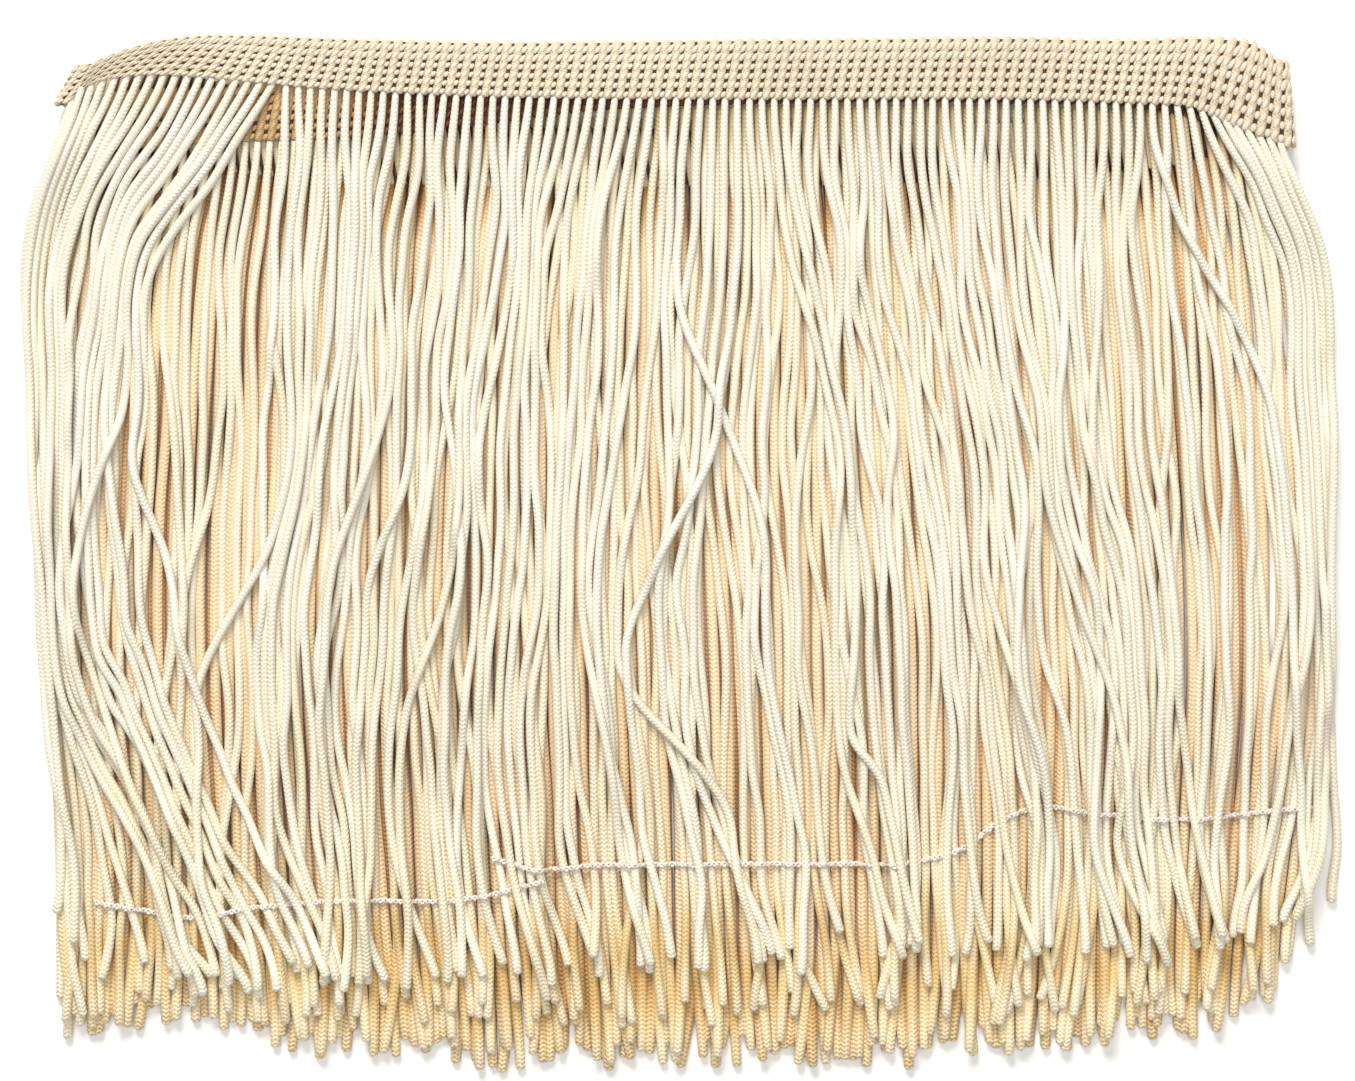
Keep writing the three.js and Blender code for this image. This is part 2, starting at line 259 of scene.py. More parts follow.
def linear(hex_colour):
    """The linear colour of an sRGB hex value."""
    shares = [int(hex_colour[k:k + 2], 16) / 255 for k in (1, 3, 5)]
    return tuple(s / 12.92 if s <= 0.04045 else ((s + 0.055) / 1.055) ** 2.4 for s in shares) + (1.0,)


def add_node(material, kind, settings=(), links=()):
    """Adds a node, sets its properties and sockets by name or number, and links its sockets."""
    node = material.node_tree.nodes.new(kind)
    for name, value in settings:
        if isinstance(name, str) and hasattr(node, name):
            setattr(node, name, value)
        else:
            node.inputs[name].default_value = value
    for name, output in links:
        material.node_tree.links.new(output, node.inputs[name])
    return node


def new_material(name):
    """A material of this name, with no nodes yet."""
    material = bpy.data.materials.new(name)
    material.use_nodes = True
    material.node_tree.nodes.clear()
    return material


ground_along = np.linspace(0, TAPE_LENGTH, int(TAPE_LENGTH / GROUND_STEP))
ground_across = np.concatenate([
    np.linspace(GROUND_INSET, 1 - GROUND_INSET, GROUND_COLUMNS),
    np.linspace(1 - GROUND_INSET, GROUND_INSET, GROUND_COLUMNS),
])
ground_out = np.repeat([GROUND_THICKNESS / 2, -GROUND_THICKNESS / 2], GROUND_COLUMNS)
ground_rings = tape_point(ground_along[None, :, None], ground_across, ground_out)
ground = mesh_of_rings("heading_ground", ground_rings, ground_along[None, :])

# Ground threads of spun polyester, quite matt, painted a deep warm tan and brown as the shade at the
# bottom of the holes. A wave texture repeats every 0.314 m at scale 1.
HOLE_SHADE_TAN = "#5E4228"
HOLE_SHADE_BROWN = "#362315"
THREAD_PITCH = 0.4
WAVE_AT_SCALE_ONE = 0.314

ground_thread = new_material("ground_thread_painted_shade")
place = add_node(ground_thread, "ShaderNodeTexCoord")
threads = add_node(
    ground_thread, "ShaderNodeTexWave",
    [("bands_direction", "X"), ("Scale", WAVE_AT_SCALE_ONE / (THREAD_PITCH * MM)), ("Distortion", 1.5)],
    [("Vector", place.outputs["Object"])],
)
shade = add_node(
    ground_thread, "ShaderNodeMix",
    [("data_type", "RGBA"), (6, linear(HOLE_SHADE_BROWN)), (7, linear(HOLE_SHADE_TAN))],
    [(0, threads.outputs["Fac"])],
)
relief = add_node(
    ground_thread, "ShaderNodeBump", [("Strength", 0.5), ("Distance", 0.1 * MM)],
    [("Height", threads.outputs["Fac"])],
)
surface = add_node(
    ground_thread, "ShaderNodeBsdfPrincipled", [("Roughness", 0.85), ("IOR", 1.5)],
    [("Base Color", shade.outputs[2]), ("Normal", relief.outputs["Normal"])],
)
add_node(ground_thread, "ShaderNodeOutputMaterial", (), [("Surface", surface.outputs[0])])
ground.data.materials.append(ground_thread)

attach(ground, "root")
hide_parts("heading_tape")

# The heading's wefts
# The fringe yarn passes up through the heading once for each cord and back down, so each cord has
# an upright of silky yarn above it. The uprights lean a little and end in small round scallops
# along the heading's upper edge. The stitches hold them side by side.
CORD_PITCH = 2.64
WEFT_HALF_WIDTH = 1.05
WEFT_HALF_WIDTH_ABOVE = 1.2
WEFT_HALF_THICKNESS = 0.63
WEFT_LEAN = -0.18
WEFT_STEPS = 9
WEFT_SIDES = 8

# In shares of the tape's depth: where an upright starts, where it begins and ends to widen, where
# it begins to close, and where it ends. Its ends have this share of its width and thickness.
WEFT_FOOT = -0.035
WEFT_WIDENS = (0.6, 0.9)
WEFT_SHOULDER = 0.97
WEFT_TOP = 1.02
WEFT_END_SHARE = 0.5

weft_count = int(TAPE_LENGTH / CORD_PITCH)
weft_along = (np.arange(weft_count) + 0.5) * CORD_PITCH
weft_across = np.concatenate([
    [WEFT_FOOT],
    np.linspace(0.0, WEFT_SHOULDER, WEFT_STEPS - 2),
    [WEFT_TOP],
])
weft_width = np.interp(weft_across, WEFT_WIDENS, [WEFT_HALF_WIDTH, WEFT_HALF_WIDTH_ABOVE])
weft_width[[0, -1]] *= WEFT_END_SHARE
weft_thickness = np.full(WEFT_STEPS, WEFT_HALF_THICKNESS)
weft_thickness[[0, -1]] *= WEFT_END_SHARE
weft_angles = angles_round(WEFT_SIDES)
lean = WEFT_LEAN * TAPE_DEPTH * (weft_across - 0.5)
weft_outs = weft_thickness[:, None] * np.sin(weft_angles)
weft_places = weft_along[:, None, None] + lean[:, None] + weft_width[:, None] * np.cos(weft_angles)
weft_rings = tape_point(weft_places, weft_across[:, None], weft_outs)
weft_lengths = np.tile(weft_across * TAPE_DEPTH, (weft_count, 1))
inner_front_end = tape_along[STATIONS_A_RUN - 1]
inner_back_end = tape_along[2 * STATIONS_A_RUN + TURN_STEPS - 2]

# The inner run shows at the left, in half shade, and from here on lies under the front cords.
COVERED_FROM = -75.0
COVERED_FADE = 15.0
HALF_SHADE = 0.16
FULL_SHADE = 0.9


def inner_shade(rings):
    """The shade on these rings of the heading's inner run."""
    covered = np.clip((rings[..., 0].mean(axis=2) - COVERED_FROM) / COVERED_FADE, 0, 1)
    return HALF_SHADE + (FULL_SHADE - HALF_SHADE) * covered


weft_shade = np.where(weft_along[:, None] < inner_front_end, inner_shade(weft_rings), 0.0)
wefts = mesh_of_rings("heading_wefts", weft_rings, weft_lengths, weft_shade)

# The heading's stitches
# Rows of chain stitch in the same yarn run along the heading and bind the wefts. Each stitch shows
# as two slanted lumps, a long one on a weft and a short one between two wefts, so that a small
# round hole is left above and below each short one. The rows near the upper edge close up.
ROW_SPACING = 2.03
ROW_ABOVE_EDGE = 0.6
STITCH_ROWS = 6
OPEN_ROWS_BELOW = 8.0
STITCHES_A_PITCH = 2
STITCH_LENGTH = 2.05
STITCH_LENGTH_BETWEEN = 1.43
STITCH_HALF_WIDTH = 0.54
STITCH_HALF_HEIGHT = 0.24
STITCH_SLANT = math.radians(-55)
STITCH_LEVEL = 0.5
STITCH_STEPS = 6
STITCH_SIDES = 6
STITCH_BLUNTNESS = 0.94
STITCH_UNEVENNESS = 0.06
FIRST_STITCH = 1.0
STITCH_SEED = 5


def stitch_rings(first, last, rng):
    """Rings of the stitches between two places along the tape."""
    spacing = CORD_PITCH / STITCHES_A_PITCH
    numbers = np.arange(math.ceil(first / spacing), int(last / spacing))
    row_heights = ROW_ABOVE_EDGE + ROW_SPACING * np.arange(STITCH_ROWS)
    number, height = (grid.ravel() for grid in np.meshgrid(numbers, row_heights))
    between = (number % STITCHES_A_PITCH == 0) & (height < OPEN_ROWS_BELOW)
    length = np.where(between, STITCH_LENGTH_BETWEEN, STITCH_LENGTH)
    along = number * spacing + WEFT_LEAN * (height - TAPE_DEPTH / 2)
    along = along + rng.normal(0, STITCH_UNEVENNESS, along.size)
    height = height + rng.normal(0, STITCH_UNEVENNESS, height.size)
    step = np.linspace(-1, 1, STITCH_STEPS)
    fullness = np.sqrt(1 - (STITCH_BLUNTNESS * step) ** 2)
    angles = angles_round(STITCH_SIDES)
    lengthwise = (length[:, None] / 2 * step)[:, :, None]
    sideways = STITCH_HALF_WIDTH * fullness[:, None] * np.cos(angles)
    upwards = STITCH_LEVEL + STITCH_HALF_HEIGHT * fullness[:, None] * np.sin(angles)
    dx = lengthwise * math.cos(STITCH_SLANT) - sideways * math.sin(STITCH_SLANT)
    dy = lengthwise * math.sin(STITCH_SLANT) + sideways * math.cos(STITCH_SLANT)
    across = (height[:, None, None] + dy) / TAPE_DEPTH
    return tape_point(along[:, None, None] + dx, across, upwards[None])


def stitch_piece(name, rings, shade=None):
    """One piece of many stitches."""
    lengths = np.tile(np.linspace(0, STITCH_LENGTH, STITCH_STEPS), (len(rings), 1))
    return mesh_of_rings(name, rings, lengths, shade)


stitch_rng = np.random.default_rng(STITCH_SEED)
outer_rings = stitch_rings(inner_back_end, TAPE_LENGTH, stitch_rng)
inner_rings = stitch_rings(FIRST_STITCH, inner_front_end, stitch_rng)
stitches = stitch_piece("heading_stitches", outer_rings)
inner_stitches = stitch_piece("heading_inner_stitches", inner_rings, inner_shade(inner_rings))

# Silky polyester yarn, hard twisted: cream beige, with fine slanted plies and a soft sheen. The
# plies are drawn about twice as coarse as real, so that they show, and are painted darker in the
# grooves between them as shade. The run inside the winding and the uprights behind the stitches
# see less light, so their copies of the yarn are painted a deeper tan as shade. The UV map is in
# centimetres along the yarn.
PLY_PITCH = 0.5
SHADE_DEPTH = 5.0


def shaded(material, colour, crease_shade=None):
    """Darkens and warms a colour with painted shade, by the mesh's shade and in creases, standing in
    for light that passes from yarn to yarn many times before it leaves."""
    shade = add_node(material, "ShaderNodeAttribute", [("attribute_name", "shade")])
    depth = shade.outputs["Fac"]
    if crease_shade is not None:
        depth = add_node(
            material, "ShaderNodeMath", [("operation", "ADD")], [(0, depth), (1, crease_shade)]
        ).outputs[0]
    bounces = add_node(
        material, "ShaderNodeMath", [("operation", "MULTIPLY_ADD"), (1, SHADE_DEPTH), (2, 1.0)],
        [(0, depth)],
    )
    return add_node(
        material, "ShaderNodeGamma", (), [("Color", colour), ("Gamma", bounces.outputs[0])],
    ).outputs["Color"]


def yarn_axes(material):
    """The share round a yarn, as X, and the centimetres along it, as Y."""
    uv = add_node(material, "ShaderNodeUVMap", [("uv_map", "along_yarn")])
    return add_node(material, "ShaderNodeSeparateXYZ", (), [("Vector", uv.outputs["UV"])]).outputs


def slanted_rows(material, slant, along, pitch):
    """Rows across a yarn at this pitch, slanted by the turn that slant gives: a wave from -1 to 1,
    and the same from 0 to 1."""
    turns = add_node(
        material, "ShaderNodeMath",
        [("operation", "MULTIPLY"), (1, 2 * math.pi * CM / pitch)], [(0, along)],
    )
    phase = add_node(
        material, "ShaderNodeMath", [("operation", "ADD")], [(0, slant), (1, turns.outputs[0])]
    )
    wave = add_node(material, "ShaderNodeMath", [("operation", "SINE")], [(0, phase.outputs[0])])
    height = add_node(
        material, "ShaderNodeMapRange", [("From Min", -1.0), ("From Max", 1.0)],
        [("Value", wave.outputs[0])],
    )
    return wave.outputs[0], height.outputs[0]


def finish_yarn(material, colour, height, relief_share, relief_depth, roughness, sheen):
    """Gives polyester yarn its colour, its relief, this many millimetres deep, and its soft sheen."""
    relief = add_node(
        material, "ShaderNodeBump", [("Strength", relief_share), ("Distance", relief_depth * MM)],
        [("Height", height)],
    )
    surface = add_node(
        material, "ShaderNodeBsdfPrincipled",
        [("Roughness", roughness), ("IOR", 1.5), ("Sheen Weight", sheen), ("Sheen Roughness", 0.4)],
        [("Base Color", colour), ("Normal", relief.outputs["Normal"])],
    )
    add_node(material, "ShaderNodeOutputMaterial", (), [("Surface", surface.outputs[0])])
    return material


def twisted_yarn(name, dark, light):
    """Twisted polyester yarn: this dark colour is painted shade in the grooves between its plies, and
    this light colour lies on the plies.
    """
    material = new_material(name)
    axes = yarn_axes(material)
    slant = add_node(
        material, "ShaderNodeMath", [("operation", "MULTIPLY"), (1, 4 * math.pi)], [(0, axes["X"])]
    )
    _, height = slanted_rows(material, slant.outputs[0], axes["Y"], PLY_PITCH)
    place = add_node(material, "ShaderNodeTexCoord")
    unevenness = add_node(
        material, "ShaderNodeTexNoise", [("Scale", 60.0), ("Detail", 3.0)],
        [("Vector", place.outputs["Object"])],
    )
    plies = add_node(
        material, "ShaderNodeMix", [("data_type", "RGBA"), (6, linear(dark)), (7, linear(light))],
        [(0, height)],
    )
    uneven = add_node(
        material, "ShaderNodeMix", [("data_type", "RGBA"), ("blend_type", "MULTIPLY"), (0, 0.25)],
        [(6, plies.outputs[2]), (7, unevenness.outputs["Fac"])],
    )
    return finish_yarn(material, shaded(material, uneven.outputs[2]), height, 0.4, 0.12, 0.6, 0.2)


# The wefts and the inner run's stitches are the same yarn as the stitches, painted a deeper tan as
# shade.
for heading_piece, yarn in (
    (wefts, twisted_yarn("heading_weft_polyester_painted_shade", "#D6C2A0", "#E2D2B4")),
    (stitches, twisted_yarn("heading_stitch_polyester", "#DFD1B8", "#EBE2D0")),
    (inner_stitches, twisted_yarn("heading_inner_stitch_polyester_painted_shade", "#E1C198", "#ECD6B0")),
):
    heading_piece.data.materials.append(yarn)
    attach(heading_piece, "root")

# The fringe's cords
# Knitted chainette cords of silky polyester, about 1.9 mm thick and 187 mm long, one for each weft,
# cut off plain at the tips. They hang from the heading's lower edge and are laid here one after
# another, each on what already lies below it, so that later ones ride over earlier ones.
CORD_RADIUS = 0.95
CORD_GAP = 1.32
CORD_GAP_WITHIN = 1.5

# Half the distance between the middles of cords that cross, on the front and within the winding. It
# is less than their radius, because they press into each other.
CORD_TOUCH = 0.84
CORD_TOUCH_WITHIN = 0.68

# How wide and high a cord is, to a round one. Those below are pressed by those above.
ROUND = (1.0, 1.0)
PRESSED = (1.3, 0.8)
FLAT = (1.58, 0.66)

# A cord is drawn in at its root, and its cut tip is round and flares a little. The tip's numbers are
# shares of the cord's length and radius. Each cord has its own twist, in radians.
ROOT_TAPER = (0.76, 0.82, 0.88, 0.94, 0.98)
ROUND_TIP_SHARE = 0.06
TIP_FLARE = 1.13
TIP_FLARE_SHARE = 0.09
TIP_RIM = 0.9975
TIP_FACE = 0.7
TWIST_SPREAD = 1.2

# The shade on hidden cords: how far it reaches below the roots, how deep it is and how far above the
# tips, and where the outermost cords, which see the light, turn paler.
ROOT_SHADE_LENGTH = 13.0
TIP_SHADE = 0.3
TIP_SHADE_ABOVE = 15.0
TIP_SHADE_REACH = 7.0
SIDE_FROM = 122.0
SIDE_REACH = 8.0
SIDE_PALER = 0.11

# How finely courses are drawn: levels of y, which reach a little below the tips, places on a path and
# the step between them, and samples of the heading's edge, of a guide cord, of a cord, and of the
# heading along and across.
LEVELS = 72
LEVELS_BELOW_TIPS = 6.0
PATH_SAMPLES = 580
PATH_STEP = 0.33
EDGE_SAMPLES = 2000
GUIDE_SAMPLES = 400
CORD_SAMPLES = 600
TAPE_SAMPLES = (2400, 60)

# The surface that cords are laid on, as a grid of heights, how fast a cord falls from its root, the
# length over which its stiffness evens out its course, and the distances across it where it is held
# up and where it covers the surface.
CELL = 0.35
SURFACE_LOW = np.array([-165.0, -135.0])
SURFACE_CELLS = (945, 720)
FALL = 0.0035
DRAPE_LENGTH = 3.0
DRAPE_ROUNDS = 3
UNDER_CORD = np.linspace(-0.5, 0.5, 5)
OVER_CORD = np.arange(-2, 3) * CELL

# How cords gather, in bundles and in pairs: how far apart the gathers are, sideways and down,
# how far each reaches to the sides and down, and the weakest and strongest pull. Then where the
# gathers start and end, sideways and down.
BUNDLES = (9.5, 34.0, 5.0, 15.0, 0.1, 0.85)
PAIRS = (4.5, 19.0, 2.4, 6.5, 0.0, 0.75)
GATHERS_ACROSS = (-150, 151)
GATHERS_DOWN = (80, -100)

# How cords wander, in broad and small bundles and alone: how wide and long each swing is, and how
# far it goes sideways.
BROAD_SWING = (14, 42, 2.6)
SMALL_SWING = (5, 30, 1.0)
LONE_SWING = (1, 30, 1.1)

# Near the sides there is less room to wander, and near the roots none.
EDGE_X = 144.0
EDGE_WIDTH = 14.0
LEAST_ROOM = 0.1
FREE_BELOW_ROOT = 26.0

# Neighbours that come too close are moved apart by this share of what is short, this many times
# before and after their courses are smoothed.
NUDGE = 0.45
NUDGES = (80, 20)
SMOOTHINGS = 2

# Cords that cross their neighbours: how far sideways, from which height and over what length. They
# take a later turn than most, and strays the last. The outermost few cross inwards only.
CROSSING_SHIFT = (2, 6.5)
CROSSING_START = (-50, 70)
CROSSING_LENGTH = (35, 75)
CROSSING_TURN = 0.6
STRAY_TURN = 2
KEPT_IN = 6

# Where a cord starts, by its heading's edge and below the middle of its thickness, how far down its
# own course begins, and how its tip strays, downwards and sideways.
ROOT_ABOVE_EDGE = 0.6
ROOT_CLEAR = 1.5
ROOT_SINK = 0.4
TIP_UNEVENNESS = 2.0
SPLAY_LENGTH = 28.0
SPLAY_CURVE = 1.6

# From left to right: a guide cord's root x, its x at each flow height, and its tip's x and y.
FLOW_HEIGHTS = (65, 32.5, 0, -32.5, -65)
FRONT_FLOW = np.array([
    (-132.5, -143, -142, -142, -141, -140, -139, -74),
    (-129, -140.5, -140.3, -140.3, -139, -135.5, -131, -89.5),
    (-122.5, -137.5, -138.3, -138.3, -135.5, -125, -116, -94),
    (-117, -134, -136.3, -136, -132, -117.5, -105.5, -94),
    (-110, -127.5, -132.5, -132.5, -128, -110.5, -98, -95),
    (-103, -121.5, -128, -128.5, -123.5, -105, -93.5, -95),
    (-96, -117, -123.5, -124.5, -119.5, -101, -90, -93),
    (-88.8, -112.5, -118.5, -120, -115.5, -98, -87.5, -92),
    (-86.2, -88.5, -91, -93.5, -95.5, -91, -84.5, -92),
    (-77, -79.5, -82, -84.5, -86.5, -83.5, -77.5, -93),
    (-61.5, -64.5, -67, -69, -70.5, -69.5, -65.5, -95),
    (-40, -43.5, -46.5, -47, -49.5, -50.5, -48.5, -93),
    (-18.5, -22.5, -24.5, -26, -27, -24, -19, -91),
    (3, 0.5, -3, -4.5, -3, 2, 6, -89.5),
    (12, 9.5, 9.5, 9.5, 11, 15.5, 19.5, -88.5),
    (20.5, 21, 25, 26.5, 27.5, 30.5, 33.5, -87.5),
    (38, 39.5, 45.5, 50.5, 53.5, 56, 58.5, -87.5),
    (57.5, 58, 64, 70, 74, 76.5, 78.5, -87.5),
    (79, 80, 83.5, 88, 92.5, 96, 98.5, -86.5),
    (92, 94, 96, 99.5, 102.5, 105, 106.5, -86),
    (100.5, 100.5, 102, 105.5, 108.5, 110.5, 112, -85.5),
    (105, 108, 111.5, 114, 115.5, 116, 116, -85),
    (109.5, 119, 124.5, 126, 125.5, 123.5, 120.5, -84.5),
    (114, 130, 133.5, 134.5, 134, 130.5, 125.5, -83),
    (118, 132, 136, 137, 137.5, 134.5, 129.5, -82),
    (123, 134.7, 138.7, 139.7, 140.5, 139, 134.5, -79),
    (128.5, 137.5, 141, 142.3, 143.5, 143.5, 140, -74.5),
])
INNER_FRONT_FLOW = np.array([
    (-126.5, -134, -137.5, -138, -137, -135, -134, -99.5),
    (-120, -125.5, -128.5, -129.5, -128.5, -127, -126.5, -100.5),
    (-111.5, -114.5, -117, -118, -118, -117.5, -117.5, -97.5),
    (-96.5, -98, -100, -102, -102, -101, -100, -99.5),
    (-88, -89.5, -91.5, -94, -94.5, -93.5, -92, -100.5),
    (-75, -77.5, -80, -82, -82.5, -80.5, -78.5, -100.5),
    (-61.5, -63.5, -65, -66.5, -66.5, -64.5, -62.5, -100.5),
    (-27, -29, -31.5, -31.5, -31, -29.5, -28, -101),
    (7.5, 6.5, 5.5, 6.5, 8, 9.5, 10.5, -100),
    (42, 43, 46, 49, 51.5, 52, 52.5, -99),
    (77, 79.5, 83.5, 87, 88, 88.5, 88, -98),
    (109.5, 112.5, 115.5, 118, 119, 117.5, 116, -98.5),
    (122.5, 126, 130.5, 133, 134, 131, 127.5, -97.5),
])
INNER_BACK_FLOW = np.array([
    (-126.5, -134.5, -136.5, -137, -136.5, -136, -136, -101.5),
    (-120, -127.5, -130, -131, -130.5, -130, -129.5, -104),
    (-111.5, -116.5, -119.5, -121, -120.5, -119.5, -119.5, -102),
    (-83.5, -85.5, -87, -88.5, -88.5, -86.5, -84, -107.5),
    (-40, -41.5, -42.5, -43, -42.5, -41, -39.5, -110.5),
    (3, 3, 3, 3.5, 4.5, 5.5, 6, -110.5),
    (46.5, 48, 49.5, 51, 51.5, 51.5, 51.5, -108),
    (90, 92.5, 94.5, 96, 96.5, 95.5, 94, -106),
    (107, 110.5, 113, 115, 115, 113, 111.5, -103.5),
    (120, 126, 130, 132.5, 132, 128, 124.5, -99),
    (128, 135.5, 138, 139, 138.5, 135, 131, -88.5),
])
BACK_FLOW = np.array([
    (-131, -136.5, -137.5, -137.5, -137, -136, -135.5, -97.5),
    (-124.5, -130, -131, -131.5, -131, -130, -129.5, -104),
    (-113.5, -118.5, -121, -122.5, -122, -120, -119, -99.5),
    (-79, -81, -83, -84, -83.5, -81, -79, -108),
    (-31.5, -32.5, -33, -33.5, -33, -32, -30.5, -111),
    (20.5, 21.5, 22.5, 23.5, 24.5, 24.5, 24, -110.5),
    (72.5, 75, 77.5, 79, 80, 79, 77.5, -107),
    (94, 97.5, 100.5, 103, 103.5, 102, 100, -104.5),
    (108.5, 113.5, 118, 120.5, 120.5, 118, 116, -101.5),
])

# Places where the front cords have parted: middle x and y, half width and half length.
PARTING_REACH = 9.0
PARTINGS = np.array([
    (4.8, -7.5, 1.9, 9),
    (28.1, -41, 2.8, 15),
    (74.7, -73.5, 2.2, 14),
    (-114.3, -15, 1.6, 8),
    (-124.5, -32.4, 2.2, 16),
    (-106, -42, 1.6, 13),
    (-30.1, -36.7, 1.5, 20),
])

# Cords that lie slantwise over the others: root x, the height where each leaves its own place, and
# how far down and how far sideways it goes from there.
STRAYS = np.array([
    (12.5, 30, 52, -21),
    (-5, -22, 38, 18),
    (-91.5, 26, 38, 9),
    (-94.5, 32, 42, -11),
    (-84, 5, 40, -14),
    (1.1, 66, 74, 26),
    (20, 80, 72, 12),
    (22.6, 78, 70, 11),
    (101, 92, 62, 24),
    (-60, 40, 60, -9),
    (70, 20, 60, 10),
])


def eased(share):
    """A share from 0 to 1 that starts and stops gently."""
    return share * share * (3 - 2 * share)


def swing(x, y, rng, width, length, reach):
    """How far cords wander sideways: soft random hills of this width and length."""
    columns = int((x.max() - x.min()) / width) + 3
    rows = int((y.max() - y.min()) / length) + 3
    hills = rng.uniform(-1, 1, (columns, rows))
    place_x = (x - x.min()) / width
    place_y = (y - y.min()) / length
    column, row = place_x.astype(int), place_y.astype(int)
    part_x, part_y = eased(place_x - column), eased(place_y - row)
    low = hills[column, row] * (1 - part_x) + hills[column + 1, row] * part_x
    high = hills[column, row + 1] * (1 - part_x) + hills[column + 1, row + 1] * part_x
    return (low * (1 - part_y) + high * part_y) * reach


def gather(x, y, rng, spacing, rise, reach, length, least, most):
    """Draws cords together at scattered places, where they meet and part again below."""
    drawn = x.copy()
    for place_x in np.arange(*GATHERS_ACROSS, spacing):
        for place_y in np.arange(*GATHERS_DOWN, -rise):
            middle_x = place_x + rng.uniform(-0.5, 0.5) * spacing
            middle_y = place_y + rng.uniform(-0.5, 0.5) * rise
            pull = rng.uniform(least, most)
            away = x - middle_x
            closeness = np.exp(-(away / reach) ** 2) * np.exp(-((y - middle_y) / length) ** 2)
            drawn -= away * pull * closeness
    return drawn


def points_between(line, known, wanted):
    """The line's points at the places wanted, from the places where they are known."""
    columns = [np.interp(wanted, known, line[:, k]) for k in range(line.shape[1])]
    return np.stack(columns, axis=-1)


def part_neighbours(places, gap, rounds):
    """Moves neighbouring cords sideways at every level until they are the gap apart."""
    for _ in range(rounds):
        short = np.maximum(gap - np.diff(places, axis=0), 0) * NUDGE
        places[:-1] -= short
        places[1:] += short
    return places


def cord_paths(tape, flow, rng, bunching, cord_gap, partings=()):
    """The cords' courses seen from above, from left to right, as x at common levels of y."""
    edge = line_through(tape[:, 0:2], EDGE_SAMPLES)
    run = distances_along(edge)
    count = int(run[-1] / CORD_PITCH)
    rooted = (np.arange(count) + 0.5) * run[-1] / count
    root_x, root_y = points_between(edge, run, rooted).T
    levels = np.linspace(edge[:, 1].max(), flow[:, 7].min() - LEVELS_BELOW_TIPS, LEVELS)
    guide_x = []
    for row in flow:
        root = (row[0], np.interp(row[0], edge[:, 0], edge[:, 1]))
        points = np.array([root, *zip(row[1:6], FLOW_HEIGHTS), row[6:8]])
        line = line_through(points, GUIDE_SAMPLES)
        guide_x.append(np.interp(-levels, -line[:, 1], line[:, 0]))
    guide_x = np.array(guide_x)
    x = np.array([np.interp(root_x, flow[:, 0], guide_x[:, k]) for k in range(LEVELS)]).T
    free = eased(np.clip((root_y[:, None] - levels[None]) / FREE_BELOW_ROOT, 0, 1))
    y = np.broadcast_to(levels, x.shape)
    bunch = swing(x, y, rng, *BROAD_SWING) + swing(x, y, rng, *SMALL_SWING)
    wander = swing(np.arange(count)[:, None] + 0 * x, y, rng, *LONE_SWING)
    room = np.clip((EDGE_X - np.abs(x)) / EDGE_WIDTH, LEAST_ROOM, 1)
    loose = free * room * bunching
    for sizes in (BUNDLES, PAIRS):
        x = x + loose * (gather(x, y, rng, *sizes) - x)
    x = x + loose * (bunch + wander)
    for middle_x, middle_y, width, length in partings:
        away = x - middle_x
        closeness = np.exp(-((y - middle_y) / length) ** 2) * np.exp(-np.abs(away) / PARTING_REACH)
        x = x + np.sign(away) * width * closeness
    slope = np.gradient(x, levels, axis=1)
    gap = cord_gap * np.sqrt(1 + slope[1:] ** 2)
    x = part_neighbours(x, gap, NUDGES[0])
    for _ in range(SMOOTHINGS):
        x[:, 1:-1] = (x[:, :-2] + 2 * x[:, 1:-1] + x[:, 2:]) / 4
    x = part_neighbours(x, gap, NUDGES[1])
    tip_y = np.interp(root_x, flow[:, 0], flow[:, 7])
    return root_x, root_y, levels, x, tip_y


def even_path(points, samples):
    """A smooth path of equal steps through the points, drawn with this many samples."""
    line = line_through(points, samples)
    run = distances_along(line)
    return points_between(line, run, np.linspace(0, run[-1], PATH_SAMPLES))


def soften(values, width):
    """Evens the values out over a width in samples, with the ends held."""
    reach = int(3 * width)
    weights = np.exp(-0.5 * (np.arange(-reach, reach + 1) / width) ** 2)
    padded = np.concatenate([np.full(reach, values[0]), values, np.full(reach, values[-1])])
    return np.convolve(padded, weights / weights.sum(), mode="valid")


def cells_at(places):
    """The surface's columns and rows at these places."""
    cells = np.round((places - SURFACE_LOW) / CELL).astype(int)
    return tuple(np.clip(cells[..., k], 0, SURFACE_CELLS[k] - 1) for k in (0, 1))


def footprint(path, offsets):
    """The surface's cells at these distances across a path."""
    along = unit(np.gradient(path, axis=0))
    across = np.stack([-along[:, 1], along[:, 0]], axis=-1)
    return cells_at(path[:, None] + across[:, None] * offsets[None, :, None])


def round_rise(offsets, radius):
    """How far a round yarn rises above its middle, at these distances across it."""
    return np.sqrt(radius ** 2 - np.minimum(np.abs(offsets), radius) ** 2)


def lay_on(surface, path, root_height, radius, touch, drape=DRAPE_LENGTH):
    """Lays a yarn on the surface along its path, adds it to the surface, and gives its height."""
    support = (surface[footprint(path, UNDER_CORD)] + round_rise(UNDER_CORD, touch)).max(axis=1)
    support = np.maximum(support, radius * TIP_FLARE)
    if root_height is not None:
        run = np.linspace(0, distances_along(path)[-1], len(path))
        support = np.maximum(support, root_height - FALL * run ** 2)
    height = support
    width = drape / PATH_STEP
    for _ in range(DRAPE_ROUNDS):
        height = np.maximum(support, soften(height, width))
    height = soften(height, width / 2)
    top = height[:, None] + round_rise(OVER_CORD, touch)
    np.maximum.at(surface, footprint(path, OVER_CORD), top)
    return height


